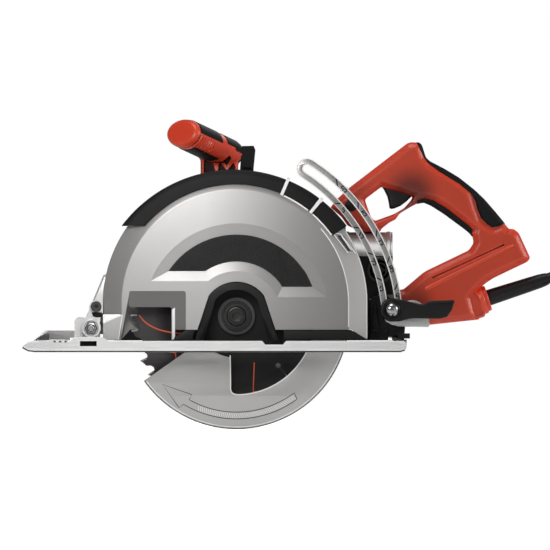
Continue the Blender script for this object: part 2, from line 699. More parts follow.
cutters = [bezel(WIN_OUT, WIN_IN, -20.0), cutter(arch(33.0, 45.2), -40, -10), cutter(UNDERCUT, -60, 60),
           bezel(SIGHT_OUT, SIGHT_IN, -20.4),
           solid("cut", [room_loop(r, y) for r, y in ((112, -19), (119, -15.6), (119, 12.5))]),
           cutter(rounded([(93.1, 113.1), (99.2, 112.7), (113.6, 94.3), (106.9, 95.5)], 1.2), -30, -21.4),
           cutter([(98.0, 111.4), (102.4, 111.2), (111.9, 96.8), (107.4, 96.8)], -30, -18),
           lathe("cut", [(0, 0), (31, 0), (31, 40), (0, 40)], (0, 0, SPINDLE[1]), (0, 1, 0), 72)]
for a0, a1, y_back in PADS:
    for r0, ya, yb in ((113.2, -40, -19.3), (122.2, -19.6, y_back + 0.3)):
        step = cutter(ring_sector(GUARD_C, r0, 150, a0 - 0.15, a1 + 0.15), ya, yb)
        if a1 > 140:
            boolean(step, cutter([(x, min(z, PAD_FOOT - 0.2)) for x, z in BELOW_PAD], -60, 60))
        cutters.append(step)
boolean(shell, cutters)
edge = shell.modifiers.new("edge", "BEVEL")
edge.width, edge.segments, edge.limit_method, edge.angle_limit = 0.45 * MM, 2, "ANGLE", math.radians(35)
shade(apply(shell), 9)
done(shell, "guard_paint", "saw_body", "guard_grey", "upper_guard")


def on_rim(c):
    """How far out a point of the guard is: its radius above the middle, and its X on the straight legs."""
    return math.hypot(c.x - GUARD_C[0], c.z - GUARD_C[1]) if c.z > GUARD_C[1] else abs(c.x - GUARD_C[0])


tint(shell, "bezel_paint", lambda c, n: c.y < -9 and c.x < -47 and c.z < 59 and abs(n.y) < 0.995 and
     inside(SIGHT_OUT, c.x, c.z))
tint(shell, "rim_paint", lambda c, n: c.y < -15.8 and -0.985 < n.y < -0.3 and on_rim(c) > 109)

# %% [markdown]
# Three soft pads wrap the rim and protect it when the saw is laid down. Each is a section carried round
# an arc, a little proud of the casting. A bent array would need exact lengths; a list of sections takes
# any angle and can shrink at the ends for an eased edge.

# %% Rim pads
PAD_C, PAD_R = (-0.9, -7.2), 134.9
EASE = 0.35


def pad_radius(angle):
    """Radius about the guard's middle of the circle that the pads' outside follows."""
    u, o = Vector(polar((0, 0), 1, angle)), Vector(PAD_C)
    return u.dot(o) + math.sqrt(PAD_R ** 2 - o.length_squared + u.dot(o) ** 2)


def pad(a0, a1, y1):
    loops, n = [], max(8, int((a1 - a0) / 1.5))
    steps = [a0, a0 + 0.12, a0 + EASE] + [a0 + (a1 - a0) * i / n for i in range(1, n)]
    for a in steps + [a1 - EASE, a1 - 0.12, a1]:
        e = max(0.0, EASE - min(a - a0, a1 - a)) * 1.6
        R = pad_radius(a) - e
        section = [(113.5 + e, -22.8 + e), (113.9 + e, -23.3 + e), (R - 6, -23.45 + e), (R - 2.2, -22.7 + e),
                   (R - 0.5, -21.2), (R, -19.5), (R, y1 - 1.5), (R - 0.5, y1 - 0.4), (R - 1.6, y1 - e),
                   (122.5, y1 - e), (122.5, -19.4), (113.5 + e, -19.4)]
        row = []
        for r, y in section:
            x, z = polar(GUARD_C, r, a)
            row.append((x, y, z))
        loops.append(row)
    return solid("pad", loops, 40)


long_pad = boolean(pad(*PADS[0]), cutter(BELOW_PAD, -60, 60))
pads = join("rim_pads_rubber", [long_pad] + [pad(*p) for p in PADS[1:]])
done(pads, "black_rubber", "saw_body", "black_rubber", "rim_pads")

# %% [markdown]
# A black plastic liner edges the arch round the arbor, and a dark skirt closes the gap between the face
# and the shoe. They could be carved from the casting. Both are thin and flat to the viewer, so they are
# plates of their own with a soft bevel.

# %% Liner and skirt
liner = plate("arch_liner_ring", [arch(32.8, 45.0), arch(26.6, 36.5)[::-1]], -22.4, -18.4, 1.3, 4)
boolean(liner, cutter([(-80, -40), (-80, 11.4), (80, 11.4), (80, -40)], -60, 60))
done(liner, "black_plastic", "saw_body", "black_plastic", "arch_liner")
long_skirt = rounded([(44.9, 21.3), (109.8, 21.3), (122.7, 13.2), (122.7, 11.5), (44.9, 11.5)], 0.4)
short_skirt = [(-60.8, 13.6), (-48.2, 21.3), (-39.8, 21.3), (-42.3, 11.4), (-60.8, 11.4)]
skirt = join("guard_skirt_strip", [plate("s", s, -21.9, -19.1, 0.7) for s in (long_skirt, short_skirt)])
done(skirt, "black_plastic", "saw_body", "black_plastic", "guard_skirt")

# %% [markdown]
# A black mesh closes the window in the guard's face. A bump texture would look flat from the side, so the
# mesh is real: two layers of thin bars, each cut where its line crosses the window's outline. A prism of
# three sides for each bar keeps hundreds of them light.

# %% Window mesh
MESH_EDGE = window_loop(77.8, 52.4, 77.7, 62.7)
MESH_PITCH, BAR_W = 2.1, 0.85


def spans(outline, p, d):
    """Stretches of the line p + t d that lie inside a closed outline."""
    ts = []
    for i in range(len(outline)):
        a, b = Vector(outline[i - 1]), Vector(outline[i])
        e, w = b - a, a - p
        den = d.x * e.y - d.y * e.x
        if abs(den) < 1e-9:
            continue
        t, u = (w.x * e.y - w.y * e.x) / den, (w.x * d.y - w.y * d.x) / den
        if 0 <= u < 1:
            ts.append(t)
    ts.sort()
    return list(zip(ts[::2], ts[1::2]))


def bar(verts, faces, a, b, w, y0, y1):
    d = (b - a).normalized()
    s = Vector((-d.y, d.x)) * w / 2
    k = len(verts)
    for p in (a, b):
        for q, y in ((p - s, y1), (p, y0), (p + s, y1)):
            verts.append((q.x, y, q.y))
    for f in ((0, 1, 4, 3), (1, 2, 5, 4), (2, 0, 3, 5), (0, 2, 1), (3, 4, 5)):
        faces.append(tuple(k + i for i in f))


verts, faces = [], []
for lean, y0 in ((58, -20.9), (-58, -20.7)):
    d = Vector(polar((0, 0), 1, lean))
    for i in range(-75, 76):
        p = Vector((0, 90)) + Vector((-d.y, d.x)) * i * MESH_PITCH
        for t0, t1 in spans(MESH_EDGE, p, d):
            if t1 - t0 > 1:
                bar(verts, faces, p + d * t0, p + d * t1, BAR_W, y0, y0 + 0.6)
done(from_mesh("window_mesh", verts, faces, 20), "mesh_metal", "saw_body", "black_metal", "guard_mesh")
backing = plate("window_backing", window_loop(80, 50.4, 75.8, 60.8), -19.9, -19.1, 0.1)
done(backing, "carbon", "saw_body", "black_metal")

# %% [markdown]
# Raised lines, engraved strokes and printed marks are all the same thing here: a thin bar that follows a
# line. A decal would blur close up. A bar of real geometry holds a sharp edge at every size.

# %% Lines as bars
def stroke(points, w, closed=False):
    """The two sides of a line of width w along the points."""
    pts = [Vector(p) for p in points]
    m, left, right = len(pts), [], []
    for i, p in enumerate(pts):
        a = pts[i - 1] if (closed or i) else p
        b = pts[(i + 1) % m] if (closed or i < m - 1) else p
        d = (b - a).normalized()
        s = Vector((-d.y, d.x)) * w / 2
        left.append(tuple(p + s))
        right.append(tuple(p - s))
    return left, right


def line_plate(name, points, w, y0, y1, closed=False):
    a, b = stroke(points, w, closed)
    m = len(a)
    verts = [(p[0], y, p[1]) for y in (y0, y1) for p in a + b]
    faces = []
    for i in range(m if closed else m - 1):
        j = (i + 1) % m
        faces += [(i, j, m + j, m + i), (2 * m + i, 3 * m + i, 3 * m + j, 2 * m + j),
                  (i, 2 * m + i, 2 * m + j, j), (m + i, m + j, 3 * m + j, 3 * m + i)]
    if not closed:
        faces += [(0, m, 3 * m, 2 * m), (m - 1, 3 * m - 1, 4 * m - 1, 2 * m - 1)]
    return from_mesh(name, verts, faces, 30)


print("a line of two points has", len(stroke([(0, 0), (9, 0)], 1)[0]), "points on a side")

# %% [markdown]
# The lower guard swings back round the spindle as the saw enters the wood. It is a pressed shell: two
# walls, a rolled rim and a hub. The front wall's opening has a rounded corner, so its outline mixes arcs
# with a smooth curve through four points.

# %% Lower guard
R_LOW = 108.3
HUB_AT = (0, 0, SPINDLE[1])
corner = smooth([(-6.2, -30.0), (-6.1, -35.5), (-4.6, -38.9), (-1.0, -40.45)])
front = corner + arc(SPINDLE, 75, 270.0, 380, 46) + arc(SPINDLE, R_LOW - 0.1, 380, 215, 96) + \
    arc(SPINDLE, 40, 215, 261.1, 12)
rear = arc(SPINDLE, R_LOW - 0.1, 215, 380, 96) + arc(SPINDLE, 80, 380, 335, 16) + \
    arc(SPINDLE, 24, 335, 215, 24)
rim_section = [(R_LOW, -12.0), (R_LOW - 0.5, -13.8), (R_LOW - 1.2, -14.3), (R_LOW - 2.2, -14.3),
               (R_LOW - 2.6, -13.9), (R_LOW - 2.6, 10.6), (R_LOW - 2.0, 11.0), (R_LOW - 0.5, 11.0),
               (R_LOW, 10.4)]
rim_rows = []
for i in range(111):
    places = [(polar(SPINDLE, r, 215 + 165 * i / 110), y) for r, y in rim_section]
    rim_rows.append([(x, y, z) for (x, z), y in places])
hub_section = [(22.1, 9.3), (29, 9.3), (29.5, 9.8), (29.5, 16.3), (28.9, 16.85), (22.1, 16.85), (22.1, 9.3)]
guard = join("lower_guard_shell", [
    plate("w", front, -14.0, -12.2, 0.5), plate("w", rear, 9.2, 11.0, 0.4), solid("r", rim_rows, 25),
    lathe("h", hub_section, HUB_AT, (0, 1, 0), 72)])
done(guard, "lower_silver", "lower_guard", "shoe_metal", "lower_guard")
tint(guard, "dark_steel", lambda c, n: math.hypot(c.x, c.z - SPINDLE[1]) > 107.3 and n.y < 0.9 and c.y < -5)

# %% [markdown]
# An arrow along the guard shows the way the blade turns. Its outline, its hatching, and the bright lines
# at the opening and at the rim are bars on the wall. One loop places all the hatching.

# %% Lower guard's lines
outline = arc(SPINDLE, 92.0, 307, 240.5, 48) + [
    polar(SPINDLE, 86.5, 240.5), polar(SPINDLE, 96.5, 222.7), polar(SPINDLE, 103.5, 238.0)] + \
    arc(SPINDLE, 98.5, 239.0, 306, 48)
arrow = line_plate("guard_arrow", outline, 0.75, -14.12, -13.9, closed=True)
done(arrow, "dark_steel", "lower_guard", "shoe_metal")
opening = [(-6.0, -3.0)] + [(x + 0.5, z - 0.2) for x, z in corner] + arc(SPINDLE, 75.4, 270.6, 336, 40)
edges = [line_plate("e", opening, 1.1, -14.2, -13.9),
         line_plate("e", arc(SPINDLE, 106.2, 216, 378, 120), 1.1, -14.42, -14.1)]
LEAN = math.degrees(0.02)
for i in range(47):
    a = 247 + 1.25 * i
    hatch = [polar(SPINDLE, 92.9, a), polar(SPINDLE, 97.6, a + LEAN)]
    edges.append(line_plate("e", hatch, 0.7, -14.16, -13.9))
done(join("lower_guard_edges", edges), "bright_paint", "lower_guard", "shoe_metal")

# %% [markdown]
# The rear handle is moulded in two halves with soft inlays over them. Its form is in the CAD halves, but
# with hard edges. A copy of them is remeshed and relaxed into one moulding. The inlays are then split off
# along their outlines and swollen by a hair, which gives the thin step between hard and soft plastic.

# %% Rear handle
OVERMOLD = [(172, 204), (175.8, 196.5), (180.0, 187.2), (183.6, 182.2), (195.0, 173.6), (206, 166.8),
            (214.2, 161.8), (225.2, 152.8), (229.6, 145.7), (232.0, 137), (235.3, 129.0), (240.8, 123.2),
            (245.8, 119.9), (252.6, 121.0), (264, 126.5), (270, 150), (224, 190), (185.5, 215)]
UNDERPAD = [(174, 138), (174, 145.5), (180.5, 147.5), (189.5, 145.5), (202, 138), (222, 122.5), (227.5, 117),
            (226, 106), (196, 124), (184, 132)]
STEP_UP = 0.4 * MM


def copy_of(name, *nodes):
    """One mesh made from the meshes of CAD nodes, in place."""
    bm = bmesh.new()
    for n in nodes:
        k = len(bm.verts)
        bm.from_mesh(NODES[n].data)
        bm.verts.ensure_lookup_table()
        for v in bm.verts[k:]:
            v.co = NODES[n].matrix_world @ v.co
    me = bpy.data.meshes.new(name)
    bm.to_mesh(me)
    bm.free()
    return link(bpy.data.objects.new(name, me))


def twin(obj, name):
    copy = link(obj.copy())
    copy.data = obj.data.copy()
    copy.name = name
    return copy


body = copy_of("grip_body", "rear_handle_left", "rear_handle_right", "handle_overmold", "grip_underpad")
soften(body, 1.15, 10, 0.25)
over, under = twin(body, "grip_overmold"), twin(body, "grip_underside")
region_over = cutter(rounded(OVERMOLD, 2), 30, 95)
region_under = cutter(rounded(UNDERPAD, 1.5), 50, 74)
boolean(over, region_over, "INTERSECT", keep=True)
boolean(under, region_under, "INTERSECT", keep=True)
boolean(body, [region_over, region_under])
for inlay in (over, under):
    m = inlay.modifiers.new("proud", "DISPLACE")
    m.mid_level, m.strength = 0.0, STEP_UP
    apply(inlay)
for piece in (body, over, under):
    shade(piece, 50)
done(body, "red_plastic", "saw_body", "red_plastic", "rear_handle_left", "rear_handle_right")
done(over, "black_rubber", "saw_body", "black_rubber", "handle_overmold")
done(under, "black_rubber", "saw_body", "black_rubber", "grip_underpad")

# %% [markdown]
# The front grip is an oval bar that leans towards the viewer, with fine ribs and a ring groove. The ribs
# could be cut one by one. Here every ring of points asks a function how deep the skin is at its place, so
# ribs, groove and the rounded end are one formula.

# %% Front grip
GRIP_FOOT = Vector((-11.1, 78.2, 191.6))
GRIP_DIR = Vector((-41, -53, 18.9)).normalized()
GRIP_L, GRIP_A, GRIP_B = 72.0, 19.2, 13.9
RIB_PITCH, GROOVE_H = 3.1, 63.8
side = GRIP_DIR.cross(Vector((0, 0, 1))).normalized()
up = side.cross(GRIP_DIR).normalized()
if up.z < 0:
    up = -up


def on_grip(ang, h, grow=0.0):
    """A point on the oval grip: 0 degrees is its top, and -90 faces the viewer."""
    a = math.radians(ang)
    return tuple(GRIP_FOOT + GRIP_DIR * h + side * math.sin(a) * (GRIP_A + grow)
                 + up * math.cos(a) * (GRIP_B + grow))


def grip_place(c):
    """The angle and the height on the grip of a point in mm."""
    v = c - GRIP_FOOT
    ang = math.degrees(math.atan2(v.dot(side) / GRIP_A, v.dot(up) / GRIP_B))
    return (ang - 360 if ang > 150 else ang), v.dot(GRIP_DIR)


def grip_skin(ang, h):
    """Depth of the ribs, of the ring groove and of the rounded end at a place on the grip."""
    d = 0.0
    if -136 < ang < -97 and 38 < h < 61:
        d -= 1.2 * max(0.0, min(1.0, 2.2 * math.cos(2 * math.pi * h / RIB_PITCH) - 0.5))
    if abs(h - GROOVE_H) < 1.6 and -190 < ang < -95:
        d -= 1.8 * min(1.0, (1.6 - abs(h - GROOVE_H)) / 0.5)
    t = (h - (GRIP_L - 6.0)) / 6.0
    if t > 0:
        d -= 4.6 * (1 - math.sqrt(max(0.0, 1 - t * t)))
    return d


heights = [14 + 0.45 * i for i in range(int(57.5 / 0.45))] + [71.2, 71.6, 71.85, GRIP_L]
rows = [[on_grip(a, h, grip_skin(a - 360 if a > 150 else a, h)) for a in range(0, 360, 3)] for h in heights]
rows.append([on_grip(a, GRIP_L + 0.3, -8.5) for a in range(0, 360, 3)])
grip = solid("front_grip", rows, 40)
done(grip, "red_plastic", "saw_body", "red_plastic")


def in_groove(c):
    ang, h = grip_place(c)
    return abs(h - GROOVE_H) < 1.2 and -188 < ang < -97


tint(grip, "black_rubber", lambda c, n: in_groove(c))

# %% [markdown]
# A pillar carries the grip. On the real moulding it is cored out, which leaves dark hollows between red
# webs. A column and the grip's root are softened into one form first, and then the hollows are cut with
# crisp edges, because a remesh after the cuts would melt the thin webs.

# %% Front pillar
root = solid("g", [[on_grip(a, h, g) for a in range(0, 360, 10)] for h, g in
                   ((-9, -5), (-7, -1.5), (-3, -0.2), (20, -0.2))], 40)
COLUMN = [(-34.3, 120), (-34.6, 184.8), (-39.5, 191), (-36, 200), (-26, 207.5), (-18.5, 208.2), (-12.9, 205.4),
          (-8.9, 201.7), (-4.3, 194.6), (-0.2, 189.0), (1.2, 183.3), (0.6, 120)]
column = plate("c", rounded(COLUMN, [0, 3, 4, 6, 6, 6, 4, 4, 4, 4, 4, 0]), 66, 88, 2.2, 2)
pillar = soften(join("front_pillar", [root, column]), 1.2, 6, 0.3)
HOLLOWS = [[(-31.5, 100), (-31.9, 183.5), (-27, 189), (-23.4, 187), (-20.4, 172), (-20, 100)],
           [(-17.4, 100), (-17.8, 180), (-15.6, 182.4), (-10.2, 175.4), (-9.6, 100)],
           [(-13.5, 185.5), (-8.6, 191.1), (-5.0, 186.2), (-9.8, 178.4)],
           [(-8.4, 175.8), (-3, 182.2), (-1.2, 178), (-1.4, 120), (-8, 120)],
           [(-18.4, 187.6), (-11.0, 195.2), (-9.6, 193.8), (-16.8, 186.2)],
           [(-15.4, 185.0), (-8.6, 192.4), (-6.6, 190.4), (-13.4, 183.2)]]
for hollow in HOLLOWS:
    boolean(pillar, cutter(rounded(hollow, 0.6), 40, 71.5))
done(pillar, "red_plastic", "saw_body", "red_plastic", "front_handle")
tint(pillar, "red_dark", lambda c, n: c.z < 197 and 60 < c.y < 71.9 and (c.y > 69 or n.y > -0.5))
tint(pillar, "black_rubber", lambda c, n: c.z > 183 and c.x > -20 and 0.72 * n.x + 0.55 * n.z > 0.55 and
     c.y > 60)

# %% [markdown]
# Soft rubber covers the grip's top and its underside. A sleeve is a patch of the grip's own surface,
# lifted by half a millimetre and eased down at its edges, so it follows the oval without a Shrinkwrap
# modifier.

# %% Grip sleeves
def grip_sleeve(a0, a1, h0, h1, t):
    """Part of a soft sleeve of thickness t on the grip, with eased edges."""
    m, n = 40, max(8, int((a1 - a0) / 4))
    out = []
    for i in range(m + 1):
        h, e, row = h0 + (h1 - h0) * i / m, min(1.0, i / 2, (m - i) / 2), []
        for k in range(n + 1):
            f = min(1.0, e, k / 1.5, (n - k) / 1.5)
            row.append(on_grip(a0 + (a1 - a0) * k / n, h, t * math.sqrt(f) - 0.1))
        out.append(row + [on_grip(a0 + (a1 - a0) * k / n, h, -1.0) for k in range(n, -1, -1)])
    return solid("sleeve", out, 50)


sleeves = join("front_grip_pad", [grip_sleeve(-87, 20, 29, 66, 0.7), grip_sleeve(-80, 20, -1, 22, 0.6),
                                  grip_sleeve(146, 214, 20, 60, 0.5)])
done(sleeves, "black_rubber", "saw_body", "black_rubber", "front_handle_pad")

# %% [markdown]
# At the guard's front foot the casting turns into a flat, slanted panel. It could be cut out of the
# shell, but it has only eight faces, so its corners are simply written out. The bright lines stand for
# edges where the paint is rubbed to bare metal. Two dark strips stand behind the guard's lower edge.

# %% Guard foot and its lines
FOOT_POINTS = [(-127.6, -22.3, 36.2), (-109.3, -22.3, 36.2), (-108.8, -23.3, 35.3), (-127.6, -23.3, 28.0),
               (-112.6, -22.9, 11.7), (-127.6, -22.9, 11.7), (-127.6, -15.6, 36.2), (-109.3, -15.6, 36.2),
               (-112.6, -15.6, 11.7), (-127.6, -15.6, 11.7)]
FOOT_FACES = [(0, 1, 2, 3), (3, 2, 4, 5), (0, 6, 7, 1), (1, 7, 8, 2), (2, 8, 4), (5, 4, 8, 9), (0, 3, 5, 9, 6),
              (6, 9, 8, 7)]
done(from_mesh("guard_foot_panel", FOOT_POINTS, FOOT_FACES, 10), "foot_paint", "saw_body", "guard_grey")
foot_lines = join("foot_panel_lines", [line_plate("f", *line) for line in (
    ([(-126.8, 28.0), (-109.4, 35.6)], 1.0, -23.45, -23.1),
    ([(-109.2, 35.4), (-112.8, 12.0)], 0.9, -23.45, -22.7),
    (arc(GUARD_C, 108.5, 41, 0, 40) + [(107.3, 24.0)], 0.9, -23.2, -22.8),
    (arc(GUARD_C, 125.9, 33, 0, 40) + [(124.7, 14.0)], 0.8, -16.8, -16.0))])
done(foot_lines, "bright_paint", "saw_body", "guard_grey")
strip = join("guard_back_strip", [plate("s", s, 13.0, 15.0, 0.6) for s in (
    [(-118.0, 11.0), (-45.0, 11.0), (-58.0, 26.0), (-116.0, 26.0)],
    [(45.0, 11.0), (119.0, 11.0), (119.0, 20.0), (45.0, 20.0)])])
done(strip, "black_metal", "saw_body", "black_metal")

# %% [markdown]
# Between the pads the casting comes through as bright rails, and each short pad has a bright line at its
# foot. A curve with a bevel would keep one section all along. A rail has to follow the slanted rim, so it
# is a row of four-sided sections that keep their width at every radius.

# %% Pad frames
RAIL_SECTIONS = [(112.2, -23.0, 112.4, -19.4), (113.0, -23.4, 113.2, -19.4), (126.4, -23.4, 124, -19.4),
                 (129.2, -22.6, 126, -19.4), (130.5, -20.4, 127.8, -18.6), (130.5, 16.3, 127.8, 16.3)]


def pad_frame(a, w):
    """A bright rail of width w across the rim, at an angle between two pads."""
    loops = []
    for r, y, r_in, y_in in RAIL_SECTIONS:
        row = []
        for q, v, sign in ((r, y, -1), (r, y, 1), (r_in, y_in, 1), (r_in, y_in, -1)):
            x, z = polar(GUARD_C, q, a + math.degrees(sign * w / 2 / q))
            row.append((x, v, z))
        loops.append(row)
    return solid("rail", loops, 25)


done(join("pad_frames", [pad_frame(66.8, 3.0), pad_frame(50.25, 3.0)]), "bright_paint", "saw_body",
     "guard_grey")
pad_lines = join("pad_edge_lines", [line_plate("p", arc(GUARD_C, 112.6, a0, a1, 60), 1.4, -23.35, -22.6)
                                    for a0, a1 in ((51.8, 65.6), (35.2, 48.9))])
done(pad_lines, "bright_paint", "saw_body", "guard_grey")

# %% [markdown]
# Small fittings of the guard: the web behind the front lug, the post beside the sight window, and a
# framed slot in the rim. They could be drawn into the casting's outlines. As plates and lines of their
# own they keep their own finish, and dark plastic closes the slot's floor.

# %% Guard fittings
web = plate("lug_web", [(-141.5, 37.0), (-126.4, 72.0), (-124.4, 72.0), (-124.4, 37.0)], -12.6, -9.4, 0.3)
done(web, "pivot_silver", "saw_body", "housing_metal")
post = plate("window_post", [(-62.0, 11.7), (-58.6, 11.7), (-58.6, 43.0), (-62.0, 40.8)], -22.0, -19.3, 1.3, 3)
done(post, "bright_paint", "saw_body", "guard_grey")
slot_rim = [(92.6, 113.6), (99.6, 113.2), (114.2, 94.1), (106.6, 95.2), (92.6, 113.6)]
slot_rib = [(100.2, 110.9), (101.4, 110.8), (110.8, 97.2), (109.6, 97.2)]
pocket = join("rim_pocket_frame", [line_plate("p", slot_rim, 0.8, -22.9, -22.0),
                                   plate("q", slot_rib, -21.3, -20.9, 0.15)])
done(pocket, "bright_paint", "saw_body", "guard_grey")
slot_floor = rounded([(96.6, 111.6), (102.6, 111.3), (112.0, 96.8), (107.0, 96.9)], 0.5)
done(plate("rim_pocket_slot", slot_floor, -21.0, -20.5, 0.1), "carbon", "saw_body", "black_plastic")

# %% [markdown]
# The arbor bolt clamps the blade. Its head could be built up from discs, but one profile on the lathe
# places every fine step, and the steps catch the light as rings. A hexagon socket is cut in. The blade
# carries a few generic lines in orange, as coated blades do.

# %% Arbor bolt and blade lines
def hexagon(c, r, turn):
    return [polar(c, r, 60 * i + turn) for i in range(6)]


BOLT_RINGS = [(0, -16), (4, -16), (4, 0), (14.0, 0), (14.3, 0.4), (14.3, 2.0), (13.8, 2.5), (12.9, 2.5),
              (12.6, 2.1), (12.1, 2.1), (11.8, 2.5), (9.6, 2.6), (9.2, 3.2), (9.0, 5.9), (8.4, 6.8), (7.6, 7.0),
              (7.2, 6.6), (6.7, 6.6), (6.3, 7.0), (5.0, 7.0), (0, 7.0)]
bolt = lathe("arbor_bolt_turned", BOLT_RINGS, (0, -5.0, SPINDLE[1]), (0, -1, 0), 96)
boolean(bolt, cutter(hexagon(SPINDLE, 4.8, 12), -13, -8.2))
done(bolt, "bolt_dark", "arbor", "dark_steel", "arbor_bolt")
swoop = smooth([(-93.6, 35.5), (-87.2, 28.3), (-78.1, 22.9), (-70, 20.2), (-60, 18.4), (-48, 17.4)])
blade_lines = [(swoop, 1.3), ([(-67, 0.6), (-58.6, -0.8), (-57.6, -10.5)], 1.1),
               ([(-52.8, -4.8), (-52.2, -2.2), (-45.0, -2.2)], 1.1), ([(17, -10), (16, -38), (44, -38)], 1.1)]
marks = join("blade_print", [line_plate("l", points, w, -0.86, -0.79) for points, w in blade_lines])
done(marks, "blade_orange", "arbor", "blade_coat")

# %% [markdown]
# The depth bracket is a slotted arc with a scale. Raised lips run along its edge and round its slot. They
# could be a bevel on the bracket's own outline. Thin bars that follow the same arcs are used here,
# because they keep one width all the way round the tip.

# %% Depth bracket
ARC_C = (-27.5, 26.4)
ARC_R = math.hypot(149 - ARC_C[0], 40.5 - ARC_C[1])
ARC_END = 57.5
BRACKET_Y = (5.0, 9.0)


def on_arc(r, a):
    return polar(ARC_C, r, a)


TIP_C = on_arc(ARC_R, ARC_END)


def round_the_tip(half, low_out, low_in, n_tip, n_in):
    """A line along the bracket at half a width from its middle, out, round the tip and back."""
    return arc(ARC_C, ARC_R + half, low_out, ARC_END, 60) + \
        arc(TIP_C, half, ARC_END, ARC_END + 180, n_tip) + arc(ARC_C, ARC_R - half, ARC_END, low_in, n_in)


lips = join("bracket_lips", [line_plate("l", round_the_tip(9.6, 5, 6, 16, 56), 0.9, 4.72, 5.2),
                             line_plate("l", round_the_tip(4.2, 6, 6, 12, 56), 1.1, 4.72, 5.2)])
done(lips, "bright_paint", "depth_bracket", "guard_grey")

# %% [markdown]
# The scale has slanted ticks and plain numbers. A text object would bring a font file's outlines. Strokes
# drawn from a small table suit stamped figures better, and they stay within the metal.

# %% Scale of the depth bracket
DIGITS = {"0": [[(0, 0), (1, 0), (1, 2), (0, 2), (0, 0)]], "1": [[(0.2, 1.6), (0.6, 2), (0.6, 0)]],
          "2": [[(0, 1.7), (0.3, 2), (0.9, 2), (1, 1.3), (0, 0), (1, 0)]],
          "3": [[(0, 2), (1, 2), (0.5, 1.1), (1, 0.7), (0.8, 0), (0, 0)]],
          "4": [[(0.8, 0), (0.8, 2), (0, 0.7), (1.1, 0.7)]],
          "5": [[(1, 2), (0, 2), (0, 1.2), (0.8, 1.2), (1, 0.6), (0.7, 0), (0, 0)]],
          "6": [[(0.9, 2), (0.1, 1.1), (0, 0), (1, 0), (1, 1), (0.1, 1)]], "7": [[(0, 2), (1, 2), (0.3, 0)]],
          "8": [[(0, 0), (1, 0), (1, 2), (0, 2), (0, 0)], [(0, 1), (1, 1)]],
          "9": [[(0.1, 0), (1, 1), (1, 2), (0, 2), (0, 1), (1, 1)]]}
INK_Y = (4.84, 5.1)
DIGIT_H = 4.5


def numeral(text, at, angle):
    """Digits as thin strokes, with their middle at a point and their foot turned by an angle."""
    out, c, s = [], math.cos(math.radians(angle)), math.sin(math.radians(angle))
    for i, ch in enumerate(text):
        for path in DIGITS[ch]:
            pts = []
            for u, v in path:
                x = (u + i * 1.5 - 0.75 * len(text) + 0.25) * DIGIT_H / 2
                z = (v - 1) * DIGIT_H / 2
                pts.append((at[0] + x * c - z * s, at[1] + x * s + z * c))
            out.append(line_plate("d", pts, 1.15, *INK_Y))
    return out


ink = []
OUTER_TICKS, INNER_TICKS = (47.7, 38.4, 28.4, 19.7, 11.2), (43.0, 33.1, 23.5, 14.8)
for r, turn, first, ticks in ((ARC_R + 6.9, 1.2, 5, OUTER_TICKS), (ARC_R - 6.9, -0.9, 0, INNER_TICKS)):
    for k, a in enumerate(ticks):
        ink.append(line_plate("t", [on_arc(r - 3.0, a - turn), on_arc(r + 3.0, a + turn)], 1.2, *INK_Y))
        ink += numeral(str((first + k) * 10 + 5), on_arc(r, a - 2.9), a - 67)
done(join("bracket_scale", ink), "ink_black", "depth_bracket", "black_plastic")

# %% [markdown]
# Below the scale the bracket spreads into a foot with a bright flange. The slot could be a Boolean cut.
# It is a hole in the plate's outline instead, which keeps the long edge smooth. The rails lie between the
# same two planes as the CAD bracket, so the joint's fit is kept.

# %% Bracket rails and flange
LOW = 4.4
slot = round_the_tip(3.75, LOW, LOW, 12, 60) + arc(on_arc(ARC_R, LOW), 3.75, LOW + 180, LOW + 360, 12)
rail_foot = [(142.0, 36.0), (142.0, 33.5), (144.6, 29.6), (149.0, 27.2), (155.4, 25.2), (182.6, 24.8),
             (182.6, 37.5), (177, 42.5), (160, 43)]
flange = [(140.6, 36.0), (140.6, 33.5), (143.3, 29.2), (148.1, 26.4), (154.8, 24.4), (184.1, 23.8),
          (185.0, 25.2), (184.4, 38.5), (178, 43.8), (160, 44), (150, 40)]
rails = join("depth_rails", [plate("r", [round_the_tip(9.9, 1, 3, 16, 60), slot], *BRACKET_Y, 0.7),
                             plate("r", rounded(rail_foot, 1.2), *BRACKET_Y, 0.7)])
done(rails, "bracket_grey", "depth_bracket", "guard_grey", "depth_bracket")
done(plate("bracket_foot", rounded(flange, 1.6), 0.4, 5.1, 0.8), "flange_silver", "depth_bracket", "guard_grey")
curl = plate("flange_curl", ring_sector((168.5, 36.0), 11.4, 13.6, 30, 150), 3.0, 5.0, 0.5)
done(curl, "flange_silver", "depth_bracket", "guard_grey")

# %% [markdown]
# The rear bracket is a black pressing between guard and depth bracket, with bolt heads, ears and a pin
# boss. It could be modelled as folded sheet. It is mostly in shadow, so plain plates and turned heads are
# enough. A second plate on the guard's end hides the gap behind it.

